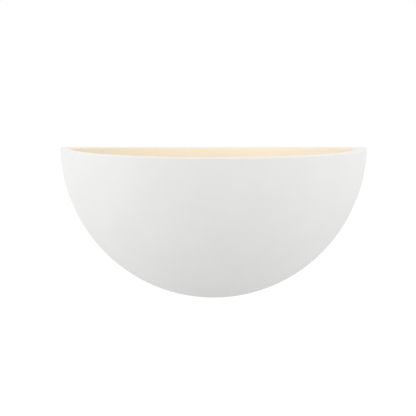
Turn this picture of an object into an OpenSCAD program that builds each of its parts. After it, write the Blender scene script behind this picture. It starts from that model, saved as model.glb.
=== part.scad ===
// Uplighter wall sconce: a plaster quarter-sphere bowl over a steel wall
// bracket that carries the lampholder, the lamp and the wiring.
//
// Row frame: the origin is on the wall, at the centre of the bracket's two
// fixing slots. +X is right, +Z is up, the wall is the plane Y = 0 and the room
// is at -Y. Every piece is drawn in the wall frame instead, where x is right, y
// is up and z is the distance out from the wall, and from_wall() turns it.

/* [Bowl] */
// Radius of the bowl's outer sphere
bowl_r = 150; // [144:1:160]
// Thickness of the plaster wall
bowl_wall = 9; // [7:0.5:10]
// Thickness of the flat plaster back
back_t = 10; // [9:0.5:12]
// Height of the rim above the fixing centre
rim_up = 50; // [46:1:56]
// How far the rim is cut below the sphere's centre
rim_drop = 2; // [1:0.5:5]
// Radius on the rim's edges
rim_ease = 1.2; // [0.6:0.1:2]
// Radius in the corner between bowl and back, inside
corner_fillet = 7; // [4:0.5:10]

/* [Bracket] */
// Distance between the centres of the two wall slots
slot_spacing = 100; // [98:1:102]
// End-to-end length of a wall slot
slot_length = 14; // [10:1:14]
// Width of a wall slot
slot_width = 4.5; // [4:0.1:5]
// Distance of each stud from the centre
stud_x = 80; // [76:1:84]
// How far the bracket's middle stands off the wall
plate_raise = 3; // [2.5:0.5:3]

/* [Lamp] */
// Diameter of the lamp's globe
globe_d = 45; // [44:0.5:47]
// Length of the lamp, from its contact to the tip of its globe
lamp_length = 78; // [76:1:80]
// How far out from the wall the lamp's contact rests
lamp_seat = 33; // [33:0.5:35]

/* [Hidden] */
$fn = 96;
// Fine enough for the bowl's large curves.
bowl_fn = 180;
// How far a cutting shape runs past the face that it cuts.
over = 1;
// Gap on the radius between a thread and what it turns in.
thread_gap = 0.05;

// Bowl. Its window slides over everything that the bracket carries.
centre_up = rim_up + rim_drop;
cavity_r = bowl_r - bowl_wall;
// A rounding that only touched the surfaces beside it would graze them. So the
// fillet's circle bites into them, and the rim's stands off them, by a hair.
hair = 0.03;
fillet_at = [
  sqrt(pow(cavity_r - corner_fillet + hair, 2) - pow(back_t + corner_fillet - hair, 2)),
  back_t + corner_fillet - hair
];
window_half = [62, 28];
recess_depth = 2.5;
recess_gap = 1;
stud_hole_r = 3;

// Bracket plate, with its middle pressed forward off the wall.
plate_t = 2;
arm_half = [92, 16];
arm_corner_r = 6;
middle_half = [60.5, 26.5];
raised_half_x = 38;
step_run = 3.5;
bend_r = 1;
plate_front = plate_raise + plate_t;
cable_hole_at = [-26, 17.5];
cable_hole_r = 5.5;
cable_bore_r = 4;

// Studs, thumb nuts and small screws: M4 and M3.
m4_r = 2;
m3_r = 1.5;
stud_end = 22;
stud_head_r = 3;
stud_head_t = 1.2;
washer_t = 1;

// Bridge: a bent strip that holds the lampholder off the plate.
bridge_t = 1.2;
bridge_front = plate_front + 11.7;
bridge_half_x = 10;
bridge_leg_y = 14.2;
bridge_foot_y = 24.5;
foot_screw_y = 20;

// Lampholder for a small Edison screw lamp, on a threaded nipple.
nipple_r = 4.95;
nipple_bore_r = 3.6;
nipple_from = 9.9;
nut_t = 3;
lock_t = 0.8;
cap_from = bridge_front + lock_t;
wiring_from = cap_from + 5;
insert_from = wiring_from + 5;
skirt_from = cap_from + 13.5;
skirt_to = 60;
holder_r = 14;
neck_r = 12.4;
neck_end = skirt_from + 7;
skirt_grips = 30;
insert_r = 11;
insert_floor = lamp_seat - 1;
shell_r = 6.75;
shell_t = 0.5;
shell_to = lamp_seat + 17;
contact_slot = [3.4, 4.4];
terminal_from = 3.4;
terminal_size = [4.6, 5, 3.2];

// Lamp. Its screw cap has the mean radius of its thread.
lamp_cap_r = 6.7;
lamp_cap_t = 0.35;
lamp_cap_flare = 8.3;
lamp_cap_to = lamp_seat + 25.6;
globe_r = globe_d / 2;
globe_t = 1.2;
globe_centre = lamp_seat + lamp_length - globe_r;
housing_t = 1.5;
housing_from = lamp_cap_to + 0.2;
housing_to = globe_centre - 11;
housing_lip = 3.6;
housing_r = [8.6, 20.8];
board_from = housing_to - 2;
board_t = 1.2;

// Terminal block: three poles side by side, each with two screws.
pole_pitch = 8;
block_at = [-26, -2];
pole_half = [2.9, 8];
pole_h = 9.4;
tower_h = 13;
tower_offset = 4.2;
tube_r = 2;
tube_up = plate_front + 5;
pole_xs = [for (i = [-1:1]) block_at.x + i * pole_pitch];

// Earth fixing on the plate.
earth_at = [24, -13];
ring_t = 0.8;
earth_washer_t = 0.7;

// Wires: points on their routes, from the block to where each one ends.
wire_r = 1.1;
wire_sides = 8;
live_route = [
  [-26, -8, 10], [-26, -11.6, 10], [-25.3, -14.4, 9.6], [-23.4, -16.2, 9], [-20.8, -16.4, 8.2],
  [-18.2, -15, 7.6], [-15.4, -13, 7.1], [-12.6, -10.9, 6.8], [-9.8, -8.9, 6.8], [-7, -6.9, 6.8],
  [-4.2, -4.9, 6.9], [-1.9, -3.2, 7.5], [-0.3, -2, 8.9], [0.6, -1.4, 11], [0.9, -1.2, 13.6],
  [1.4, -0.6, 17], [1.5, 0, 20], [1.9, 0, 22.6], [3.3, 0, 24.4], [4.9, 0, 25.5], [5.7, 0, 26.8],
  [5.7, 0, 27.5]
];
neutral_route = [
  [-18, -8, 10], [-18, -10.2, 10.2], [-17.2, -11.9, 10.4], [-15.6, -12.3, 10.5],
  [-13.6, -11, 10.3], [-11.2, -8.7, 9.9], [-8.8, -6.4, 9.2], [-6.4, -4.1, 8.5], [-4, -1.9, 8.1],
  [-2.2, -0.2, 8.6], [-1.2, 0.8, 10.2], [-0.9, 1.2, 12.6], [-1.3, 0.7, 16.4], [-1.5, 0, 20],
  [-1.9, 0, 22.6], [-3.3, 0, 24.4], [-4.9, 0, 25.5], [-5.7, 0, 26.8], [-5.7, 0, 27.5]
];
earth_route = [
  [-34, -8, 10], [-34, -12, 10], [-33.4, -15.8, 10.2], [-31.4, -19.2, 10.6], [-28, -21.6, 11],
  [-23, -22.8, 11.4], [-17, -23, 11.7], [-11, -22.8, 11.9], [-5, -22, 11.8], [0.4, -20.8, 11.5],
  [5.4, -19, 10.7], [9.2, -16.9, 9.5], [12, -14.7, 7.9], [14.2, -13.3, 6.9], [16.4, -13, 6.7],
  [18.4, -13, 6.7]
];

// Colours.
plaster = [0.94, 0.94, 0.93];
zinc = [0.72, 0.74, 0.76];
steel = [0.60, 0.61, 0.63];
brass = [0.80, 0.64, 0.30];
bronze = [0.78, 0.50, 0.28];
nickel = [0.78, 0.77, 0.74];
white_plastic = [0.93, 0.93, 0.91];
black = [0.10, 0.10, 0.11];
opal = [1.0, 0.93, 0.80];
fibre = [0.66, 0.30, 0.20];

// ---- Helpers, all in the wall frame -------------------------------------

module from_wall() {
  rotate([90, 0, 0]) children();
}

module out(distance) {
  translate([0, 0, distance]) children();
}

module at_stud(side) {
  from_wall() translate([side * stud_x, 0, 0]) children();
}

module both_sides() {
  children();
  mirror([1, 0, 0]) children();
}

module ring(outer_r, inner_r, height) {
  difference() {
    cylinder(r = outer_r, h = height);
    out(-over) cylinder(r = inner_r, h = height + 2 * over);
  }
}

// Outline with round ends, along x.
module stadium(half) {
  straight = half.x - half.y;
  square([2 * straight, 2 * half.y], center = true);
  for (side = [-1, 1])
    translate([side * straight, 0]) circle(r = half.y);
}

module rounded_rectangle(half, corner_r) {
  square([2 * half.x, 2 * (half.y - corner_r)], center = true);
  square([2 * (half.x - corner_r), 2 * half.y], center = true);
  for (sx = [-1, 1], sy = [-1, 1])
    translate([sx * (half.x - corner_r), sy * (half.y - corner_r)]) circle(r = corner_r);
}

function unit(v) = v / norm(v);

// Points that round the corner at p, on the way from a to b.
function corner(a, p, b, r) =
  r == 0 ? [p] :
  let (
    u = unit(a - p), v = unit(b - p), half = acos(u * v) / 2,
    centre = p + r / sin(half) * unit(u + v),
    from = p + r / tan(half) * u - centre,
    to = p + r / tan(half) * v - centre
  )
  [for (share = [0:0.2:1]) centre + r * unit((1 - share) * from + share * to)];

// The closed outline, with a radius for each of its corners.
function eased(points, radii) =
  let (n = len(points))
  [for (i = [0:n - 1]) each corner(points[(i + n - 1) % n], points[i], points[(i + 1) % n], radii[i])];

// An outline and its mirror image at -x, joined, with rounded corners.
module mirrored_section(points, radii) {
  last = len(points) - 1;
  other = [for (i = [last:-1:0]) [-points[i].x, points[i].y]];
  other_radii = [for (i = [last:-1:0]) radii[i]];
  polygon(eased(concat(points, other), concat(radii, other_radii)));
}

// Slotted pan head screw that points to the wall, its head seated on z = 0.
module pan_screw(shank_r, length, head_r, head_h) {
  dome_r = 1.4 * head_r;
  slot = [2 * head_r, 0.8, head_h];
  out(-length) cylinder(r = shank_r, h = length);
  difference() {
    intersection() {
      cylinder(r = head_r, h = head_h);
      out(head_h - dome_r) sphere(r = dome_r);
    }
    translate([-slot.x / 2, -slot.y / 2, head_h / 2]) cube(slot);
  }
}

// ---- Tube swept along a wire's route ------------------------------------

function tangent(path, i) =
  unit(path[min(i + 1, len(path) - 1)] - path[max(i - 1, 0)]);

// A vector square to the path, carried along from ring to ring without twist.
function side_at(path, i) =
  let (t = tangent(path, i), carried = i == 0 ? [t.z, t.x, t.y] : side_at(path, i - 1))
  unit(carried - (carried * t) * t);

function ring_at(path, i, r, sides) =
  let (a = side_at(path, i), b = cross(tangent(path, i), a))
  [for (k = [0:sides - 1]) path[i] + r * (cos(360 * k / sides) * a + sin(360 * k / sides) * b)];

module tube(path, r, sides) {
  last = len(path) - 1;
  walls = [
    for (i = [0:last - 1], k = [0:sides - 1])
      let (here = i * sides, next = (k + 1) % sides)
      each [
        [here + k, here + sides + k, here + sides + next],
        [here + k, here + sides + next, here + next]
      ]
  ];
  ends = [[for (k = [0:sides - 1]) k], [for (k = [sides - 1:-1:0]) last * sides + k]];
  polyhedron(
    points = [for (i = [0:last]) each ring_at(path, i, r, sides)],
    faces = concat(walls, ends)
  );
}

// ---- Bowl and what holds it ---------------------------------------------

// Ball whose poles stand nearly upright, the lower one behind the wall, and
// whose seam faces the wall: all three fall in what is cut away.
module ball(r) {
  rotate([5, 0, 0]) rotate([90, 90, 0]) sphere(r = r, $fn = bowl_fn);
}

// What lies further out than one level.
module outside_of(level) {
  reach = bowl_r + over;
  translate([-reach, -reach, level]) cube(2 * reach);
}

// Section of the fillet's ring: x is the radius from the axis that runs through
// the sphere's centre, square to the wall, and y the distance out.
module fillet_section() {
  depth = corner_fillet + 2;
  difference() {
    polygon([
      fillet_at, fillet_at - [0, depth], fillet_at + [depth, -depth],
      fillet_at + depth * fillet_at / norm(fillet_at)
    ]);
    translate(fillet_at) circle(r = corner_fillet);
  }
}

// Half sphere, hollow and closed by its flat back.
module half_sphere() {
  difference() {
    intersection() {
      ball(bowl_r);
      outside_of(0);
    }
    intersection() {
      ball(cavity_r);
      outside_of(back_t);
    }
  }
  rotate(90) rotate_extrude($fn = bowl_fn) fillet_section();
}

// What an edge loses when it is rounded: the solid lies at -x, below y = 0.
module edge_waste(r) {
  difference() {
    translate([-r, -r]) square(2 * r);
    translate([-r, -r]) circle(r = r, $fn = 32);
  }
}

// Cuts the rim level and rounds its edges. The rim lies in z = 0 here, upright,
// with the sphere's centre at x = y = 0 and the room at -y. The hollow narrows
// downwards, so its radius is taken where the rounding ends.
module rim_cut() {
  outer_rim = sqrt(pow(bowl_r, 2) - pow(rim_drop, 2));
  inner_rim = sqrt(pow(cavity_r, 2) - pow(rim_drop + rim_ease, 2)) - hair;
  corner_y = fillet_at.y;
  corner_r = corner_y - back_t - hair;
  corner_x = sqrt(pow(inner_rim - corner_r, 2) - pow(corner_y, 2));
  lean = atan2(corner_y, corner_x);
  // A wider rounding in the corners swallows the ends of the two that meet there.
  corner_ease = 1.25 * rim_ease;
  past = 45;
  reach = bowl_r + over;
  translate([-reach, -reach, 0]) cube(2 * reach);
  rotate_extrude($fn = bowl_fn) translate([outer_rim, 0]) edge_waste(rim_ease);
  rotate(180 + lean)
    rotate_extrude(angle = 180 - 2 * lean, $fn = bowl_fn)
      translate([inner_rim, 0]) mirror([1, 0]) edge_waste(rim_ease);
  both_sides() translate([corner_x, -corner_y, 0]) rotate(-lean - past)
    rotate_extrude(angle = 90 + lean + 2 * past)
      translate([corner_r, 0]) mirror([1, 0]) edge_waste(corner_ease);
  translate([-corner_x, -back_t - hair, 0]) rotate([90, 0, 90])
    linear_extrude(2 * corner_x) mirror([1, 0]) edge_waste(rim_ease);
}

module bowl() {
  from_wall() color(plaster)
    difference() {
      translate([0, centre_up, 0]) half_sphere();
      translate([0, rim_up, 0]) rotate([-90, 0, 0]) rim_cut();
      out(-over) linear_extrude(back_t + 2 * over) stadium(window_half);
      out(-over) linear_extrude(recess_depth + over)
        rounded_rectangle(arm_half + [recess_gap, recess_gap], arm_corner_r);
      both_sides() translate([stud_x, 0, -over]) cylinder(r = stud_hole_r, h = back_t + 2 * over);
    }
}

module fibre_washer() {
  color(fibre) out(back_t) ring(6.5, m4_r + 0.15, washer_t);
}

module washer_left() {
  at_stud(-1) fibre_washer();
}

module washer_right() {
  at_stud(1) fibre_washer();
}

// Knurled head, chamfered at both ends, on a plain collar.
module thumb_nut() {
  collar_h = 2.5;
  head_h = 5.5;
  head_r = 7.5;
  chamfer = 0.6;
  flute_depth = 0.6;
  flutes = 28;
  // The chamfers' cones run on past the flutes' crests.
  low = head_r - chamfer;
  high = head_r + 0.4;
  color(brass)
    out(back_t + washer_t)
      difference() {
        union() {
          cylinder(r = 5, h = collar_h);
          out(collar_h) intersection() {
            linear_extrude(head_h)
              polygon([
                for (i = [0:2 * flutes - 1])
                  (head_r - flute_depth * (i % 2)) * [cos(180 * i / flutes), sin(180 * i / flutes)]
              ]);
            rotate_extrude()
              polygon([
                [0, 0], [low, 0], [high, high - low],
                [high, head_h - high + low], [low, head_h], [0, head_h]
              ]);
          }
        }
        out(-over) cylinder(r = m4_r + thread_gap, h = collar_h + head_h + 2 * over);
      }
}

module thumb_nut_left() {
  at_stud(-1) thumb_nut();
}

module thumb_nut_right() {
  at_stud(1) thumb_nut();
}

// Stud pressed in from behind, its flat head flush with the plate's back.
module stud() {
  chamfer = 0.5;
  color(zinc) {
    cylinder(r = stud_head_r, h = stud_head_t);
    cylinder(r = m4_r, h = stud_end - chamfer);
    out(stud_end - chamfer) cylinder(r1 = m4_r, r2 = m4_r - chamfer, h = chamfer);
  }
}

module stud_left() {
  at_stud(-1) stud();
}

module stud_right() {
  at_stud(1) stud();
}

// ---- Wall bracket -------------------------------------------------------

module plate_outline() {
  stadium(middle_half);
  rounded_rectangle(arm_half, arm_corner_r);
}

// The plate's thickness, seen from above: flat arms and a raised middle. Each
// sloped step's back face sits closer in than its front, to keep it as thick.
module plate_profile() {
  end = arm_half.x + over;
  foot = raised_half_x + step_run;
  closer_in = 0.8;
  bend_out = bend_r + plate_t;
  right = [
    [raised_half_x - closer_in, plate_raise], [foot - closer_in, 0], [end, 0],
    [end, plate_t], [foot, plate_t], [raised_half_x, plate_front]
  ];
  mirrored_section(right, [bend_r, bend_out, 0, 0, bend_r, bend_out]);
}

module plate_holes() {
  for (side = [-1, 1]) {
    translate([side * slot_spacing / 2, 0]) stadium([slot_length / 2, slot_width / 2]);
    translate([0, side * foot_screw_y]) circle(r = m3_r + thread_gap);
  }
  translate(cable_hole_at) circle(r = cable_hole_r);
  translate(block_at + [pole_pitch / 2, 0]) circle(r = m3_r + thread_gap);
  translate(earth_at) circle(r = m4_r + thread_gap);
}

module wall_bracket() {
  from_wall() color(zinc)
    difference() {
      intersection() {
        linear_extrude(plate_front + over) plate_outline();
        rotate([90, 0, 0]) linear_extrude(2 * window_half.y, center = true) plate_profile();
      }
      out(-over) linear_extrude(plate_front + 2 * over) plate_holes();
      both_sides() translate([stud_x, 0, -over]) {
        cylinder(r = m4_r, h = plate_t + 2 * over);
        cylinder(r = stud_head_r, h = stud_head_t + over);
      }
    }
}

// Rubber grommet in the plate's cable hole.
module cable_grommet() {
  flange_r = 7.4;
  flange_t = 1.8;
  length = plate_t + 2 * flange_t;
  from_wall() color(black)
    translate([cable_hole_at.x, cable_hole_at.y, plate_raise - flange_t])
      difference() {
        union() {
          cylinder(r = flange_r, h = flange_t);
          cylinder(r = cable_hole_r, h = length);
          out(length - flange_t) cylinder(r1 = flange_r, r2 = flange_r - 1, h = flange_t);
        }
        out(-over) cylinder(r = cable_bore_r, h = length + 2 * over);
      }
}

// ---- Lampholder ---------------------------------------------------------

// The bridge's bent strip, seen from the side: two feet, two legs and the web.
module bridge_section() {
  t = bridge_t;
  upper = [
    [bridge_leg_y - t, bridge_front - t], [bridge_leg_y - t, plate_front],
    [bridge_foot_y, plate_front], [bridge_foot_y, plate_front + t],
    [bridge_leg_y, plate_front + t], [bridge_leg_y, bridge_front]
  ];
  mirrored_section(upper, [bend_r, bend_r + t, 0, 0, bend_r, bend_r + t]);
}

module holder_bridge() {
  from_wall() color(zinc)
    difference() {
      rotate([90, 0, 90]) linear_extrude(2 * bridge_half_x, center = true) bridge_section();
      out(bridge_front - bridge_t - over) cylinder(r = nipple_r + thread_gap, h = bridge_t + 2 * over);
      for (side = [-1, 1])
        translate([0, side * foot_screw_y, plate_front - over])
          cylinder(r = m3_r + 0.2, h = bridge_t + 2 * over);
    }
}

module bridge_screws() {
  from_wall() color(steel)
    for (side = [-1, 1])
      translate([0, side * foot_screw_y, plate_front + bridge_t])
        pan_screw(m3_r, bridge_t + plate_t + 0.5, 2.8, 2);
}

module holder_nipple() {
  from_wall() color(zinc) out(nipple_from) ring(nipple_r, nipple_bore_r, wiring_from - nipple_from);
}

module nipple_nut() {
  across_flats = 14;
  from_wall() color(zinc)
    out(bridge_front - bridge_t - nut_t)
      difference() {
        cylinder(d = across_flats / cos(30), h = nut_t, $fn = 6);
        out(-over) cylinder(r = nipple_r + thread_gap, h = nut_t + 2 * over);
      }
}

// Washer with square teeth round its edge.
module lock_washer() {
  teeth = 10;
  tooth_w = 1.6;
  tooth_from = 6;
  tooth_to = 7.8;
  from_wall() color(steel)
    out(bridge_front)
      difference() {
        union() {
          cylinder(r = 6.6, h = lock_t);
          for (i = [0:teeth - 1])
            rotate(360 * i / teeth) translate([tooth_from, -tooth_w / 2, 0])
              cube([tooth_to - tooth_from, tooth_w, lock_t]);
        }
        out(-over) cylinder(r = nipple_r + 0.15, h = lock_t + 2 * over);
      }
}

// Domed back of the lampholder, with a threaded entry, a wiring space, a ledge
// for the insert and a neck that the skirt turns onto.
module holder_cap() {
  dome_h = skirt_from - cap_from;
  ledge_w = 1.2;
  from_wall() color(white_plastic)
    difference() {
      out(cap_from) rotate_extrude() {
        square([8, dome_h / 2]);
        intersection() {
          translate([0, dome_h]) circle(r = holder_r);
          square([holder_r, dome_h]);
        }
        square([neck_r, neck_end - cap_from]);
      }
      out(cap_from - over) cylinder(r = nipple_r + thread_gap, h = wiring_from - cap_from + 2 * over);
      out(wiring_from) cylinder(r = insert_r - ledge_w, h = neck_end);
      out(insert_from) cylinder(r = insert_r, h = neck_end);
    }
}

module terminal_blocks(gap) {
  both_sides()
    translate([terminal_from - gap, -terminal_size.y / 2 - gap, insert_from - gap])
      cube(terminal_size + 2 * gap * [1, 1, 1]);
}

// Ceramic disc that carries the terminals, with a sleeve round the screw shell.
module holder_insert() {
  disc_to = insert_floor - 0.6;
  from_wall() color([0.90, 0.88, 0.82])
    difference() {
      union() {
        out(insert_from) cylinder(r = insert_r, h = disc_to - insert_from);
        out(insert_from) cylinder(r = 9.2, h = shell_to - over - insert_from);
      }
      out(insert_floor) cylinder(r = shell_r + shell_t, h = shell_to);
      terminal_blocks(thread_gap);
      out(insert_floor) cube([contact_slot.x, contact_slot.y, 4 * terminal_size.z], center = true);
    }
}

module holder_terminals() {
  wire_hole_x = terminal_from + terminal_size.x / 2;
  from_wall() color(brass)
    difference() {
      terminal_blocks(0);
      both_sides() translate([wire_hole_x, 0, insert_from - over]) cylinder(r = 0.8, h = 3);
    }
}

// Screw shell that takes the lamp's cap, at the mean radius of its thread.
module screw_shell() {
  from_wall() color(brass)
    out(insert_floor)
      difference() {
        cylinder(r = shell_r + shell_t, h = shell_to - insert_floor);
        out(shell_t) cylinder(r = shell_r, h = shell_to);
        out(-over) cylinder(r = 4.6, h = 3 * over);
      }
}

// Bronze tongue, bent over so that its springy end presses on the lamp.
module centre_contact() {
  t = 0.4;
  foot_x = -contact_slot.x / 2;
  tip = lamp_seat - thread_gap;
  from_wall() color(bronze)
    rotate([90, 0, 0]) linear_extrude(3, center = true)
      polygon([
        [foot_x, insert_from + 0.6], [foot_x + t, insert_from + 0.6], [foot_x + t, insert_floor - 0.6],
        [1.2, tip - t], [2.4, tip - 0.8], [2.6, tip - 0.5], [1.4, tip], [0.2, tip],
        [foot_x, insert_floor - 0.3]
      ]);
}

// Skirt that hides the lamp's cap and turns onto the neck. Fingers turn it by
// the flutes round its collar.
module holder_skirt() {
  collar_to = skirt_from + 9;
  flute_r = 1.4;
  flute_depth = 0.45;
  from_wall() color(white_plastic)
    difference() {
      rotate_extrude()
        difference() {
          polygon([
            [0, skirt_from], [holder_r, skirt_from], [holder_r, collar_to],
            [holder_r - 0.8, collar_to + 0.8], [holder_r - 1.3, skirt_to - 1],
            [holder_r - 2.3, skirt_to], [0, skirt_to]
          ]);
          square([neck_r + thread_gap, neck_end + 0.5]);
          square([9.7, skirt_to + over]);
        }
      for (i = [0:skirt_grips - 1])
        rotate(360 * i / skirt_grips)
          translate([holder_r + flute_r - flute_depth, 0, skirt_from + 1])
            cylinder(r = flute_r, h = 7.2, $fn = 24);
    }
}

// ---- Lamp ---------------------------------------------------------------

// Solder pip in the middle of the lamp's base.
module lamp_contact() {
  pip_r = 2.3;
  pip_h = 1.5;
  from_wall() color(nickel)
    out(lamp_seat)
      intersection() {
        out(pip_r + 0.3) sphere(r = pip_r + 0.3);
        cylinder(r = pip_r, h = pip_h);
      }
}

module lamp_insulator() {
  from = lamp_seat + 1.5 + thread_gap;
  to = lamp_seat + 4.4;
  from_wall() color(black)
    rotate_extrude()
      polygon([[0, from], [2.6, from], [5.4, from + 2], [5.4, to], [0, to]]);
}

// Screw cap: a thin shell, open towards the housing.
module lamp_cap() {
  from = lamp_seat + 4.4;
  flare_at = lamp_seat + 20;
  t = lamp_cap_t;
  from_wall() color(nickel)
    rotate_extrude()
      polygon([
        [0, from], [5.4, from], [lamp_cap_r, from + 1.3], [lamp_cap_r, flare_at],
        [lamp_cap_flare, flare_at + 2], [lamp_cap_flare, lamp_cap_to],
        [lamp_cap_flare - t, lamp_cap_to], [lamp_cap_flare - t, flare_at + 2.1],
        [lamp_cap_r - t, flare_at + 0.1], [lamp_cap_r - t, from + 1.5], [5.2, from + t], [0, from + t]
      ]);
}

// Points on the housing's flank: it swells from the cap's radius to the
// globe's along a sine squared curve.
function housing_flank(inset) = [
  for (i = [0:12])
    let (share = i / 12, swell = pow(sin(90 * share), 2))
    [
      housing_r[0] + (housing_r[1] - housing_r[0]) * swell - inset,
      housing_from + (housing_to - housing_from) * share
    ]
];

module lamp_housing() {
  top = housing_to + housing_lip;
  from_wall() color(white_plastic)
    rotate_extrude()
      difference() {
        polygon(concat([[0, housing_from]], housing_flank(0), [[housing_r[1], top], [0, top]]));
        translate([0, housing_t])
          polygon(concat(
            [[0, housing_from]], housing_flank(housing_t), [[housing_r[1] - housing_t, top], [0, top]]
          ));
      }
}

// Driver: a small board on edge, with a capacitor and a transformer.
module lamp_driver() {
  from = housing_from + housing_t + 0.4;
  from_wall() {
    color([0.16, 0.42, 0.24]) translate([-6.5, -0.6, from]) cube([13, 1.2, board_from - from]);
    color(black) translate([0, 3.1, from + 1]) cylinder(r = 2.6, h = 8);
    color([0.85, 0.70, 0.25]) translate([-3, -3.4, from + 3]) cube([6, 3, 5]);
  }
}

module lamp_led_board() {
  from_wall() color([0.86, 0.87, 0.88]) out(board_from) cylinder(r = 18, h = board_t);
}

module lamp_led_chips() {
  chips = 8;
  chip = [2.8, 2.8, 0.7];
  circle_r = 11;
  from_wall() color([0.98, 0.86, 0.42])
    for (i = [0:chips - 1])
      rotate(360 * i / chips)
        translate([circle_r - chip.x / 2, -chip.y / 2, board_from + board_t]) cube(chip);
}

// Sphere about the globe's centre, kept from one level outwards.
module globe_cap(r, from) {
  intersection() {
    out(globe_centre) sphere(r = r);
    out(from) cylinder(r = globe_r + over, h = 2 * globe_r);
  }
}

// Opal cover: a thin sphere on the housing's lip, with a spigot inside it.
module lamp_globe() {
  spigot_r = housing_r[1] - housing_t - thread_gap;
  spigot_from = housing_to + housing_t;
  lip_top = housing_to + housing_lip;
  from_wall() color(opal)
    difference() {
      union() {
        globe_cap(globe_r, lip_top);
        out(spigot_from) cylinder(r = spigot_r, h = lip_top - spigot_from + globe_t);
      }
      globe_cap(globe_r - globe_t, lip_top + globe_t);
      out(spigot_from - over) cylinder(r = spigot_r - globe_t, h = housing_lip + 2 * over);
    }
}

// ---- Terminal block -----------------------------------------------------

module at_towers() {
  for (x = pole_xs, side = [-1, 1])
    translate([x, block_at.y + side * tower_offset, 0]) children();
}

// Three moulded poles, each with two screw towers, joined across the middle.
module terminal_block() {
  web_w = 5.2;
  from_wall() color(white_plastic)
    difference() {
      union() {
        for (x = pole_xs)
          translate([x - pole_half.x, block_at.y - pole_half.y, plate_front])
            cube([2 * pole_half.x, 2 * pole_half.y, pole_h]);
        translate([block_at.x - pole_pitch, block_at.y - web_w / 2, plate_front])
          cube([2 * pole_pitch, web_w, pole_h]);
        at_towers() out(plate_front) cylinder(r = pole_half.x, h = tower_h);
      }
      for (x = pole_xs)
        translate([x, block_at.y + pole_half.y + over, tube_up]) rotate([90, 0, 0])
          cylinder(r = tube_r, h = 2 * (pole_half.y + over));
      at_towers() out(tube_up) cylinder(r = 2.05, h = tower_h);
      translate([block_at.x + pole_pitch / 2, block_at.y, 0]) cylinder(r = m3_r + 0.1, h = 2 * tower_h);
    }
}

module terminal_tubes() {
  half_length = pole_half.y - 1.5;
  from_wall() color(brass)
    difference() {
      for (x = pole_xs)
        translate([x, block_at.y + half_length, tube_up]) rotate([90, 0, 0])
          ring(tube_r, 1.4, 2 * half_length);
      at_towers() out(tube_up) cylinder(r = 1.25, h = 2 * tube_r);
    }
}

module terminal_screws() {
  shank_to = 2.6;
  head_h = 1.6;
  from_wall() color(steel)
    at_towers() out(tube_up + 1.5)
      difference() {
        union() {
          cylinder(r = 1.2, h = shank_to);
          out(shank_to) cylinder(r = 1.9, h = head_h);
        }
        translate([-2, -0.3, shank_to + head_h / 2]) cube([4, 0.6, head_h]);
      }
}

module block_screw() {
  from_wall() color(steel)
    translate([block_at.x + pole_pitch / 2, block_at.y, plate_front + pole_h])
      pan_screw(m3_r, pole_h + plate_t + 0.5, 2.6, 1.9);
}

// ---- Earth fixing -------------------------------------------------------

// Ring terminal, its barrel crimped on the earth wire.
module earth_ring() {
  barrel_r = 1.6;
  barrel_length = 3.4;
  barrel_at = [-4.4, 0, barrel_r + 0.1];
  tongue = [4.4, 2.6, ring_t];
  from_wall() color([0.74, 0.66, 0.52])
    translate([earth_at.x, earth_at.y, plate_front])
      difference() {
        union() {
          cylinder(r = 3.9, h = ring_t);
          translate([-3 - tongue.x, -tongue.y / 2, 0]) cube(tongue);
          translate(barrel_at) rotate([0, -90, 0]) cylinder(r = barrel_r, h = barrel_length);
        }
        out(-over) cylinder(r = m4_r + 0.15, h = ring_t + 2 * over);
        translate(barrel_at + [over, 0, 0]) rotate([0, -90, 0])
          cylinder(r = wire_r + thread_gap, h = 2 * barrel_length);
      }
}

module earth_washer() {
  from_wall() color(brass)
    translate([earth_at.x, earth_at.y, plate_front + ring_t]) ring(3.7, m4_r + 0.15, earth_washer_t);
}

module earth_screw() {
  stack = ring_t + earth_washer_t;
  from_wall() color(brass)
    translate([earth_at.x, earth_at.y, plate_front + stack])
      pan_screw(m4_r, stack + plate_t + 1, 3.6, 2.5);
}

// ---- Wires --------------------------------------------------------------

module wire_live() {
  from_wall() color([0.36, 0.20, 0.11]) tube(live_route, wire_r, wire_sides);
}

module wire_neutral() {
  from_wall() color([0.16, 0.34, 0.70]) tube(neutral_route, wire_r, wire_sides);
}

module wire_earth() {
  from_wall() color([0.50, 0.62, 0.16]) tube(earth_route, wire_r, wire_sides);
}

// ---- Nodes --------------------------------------------------------------

bowl();
washer_left();
washer_right();
thumb_nut_left();
thumb_nut_right();
wall_bracket();
stud_left();
stud_right();
cable_grommet();
holder_bridge();
bridge_screws();
holder_nipple();
nipple_nut();
lock_washer();
holder_cap();
holder_insert();
holder_terminals();
screw_shell();
centre_contact();
holder_skirt();
lamp_contact();
lamp_insulator();
lamp_cap();
lamp_housing();
lamp_driver();
lamp_led_board();
lamp_led_chips();
lamp_globe();
terminal_block();
terminal_tubes();
terminal_screws();
block_screw();
earth_ring();
earth_washer();
earth_screw();
wire_live();
wire_neutral();
wire_earth();
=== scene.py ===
"""Uplighter wall sconce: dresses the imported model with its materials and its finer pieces.

Lengths are in millimetres in the wall frame, as in the part's source: x is right, up is up and out
is the distance from the wall. place() turns a point into the row frame's metres, where x is right,
y is into the wall and z is up. Light sizes are in metres and powers in watts.
"""

import math

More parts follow.
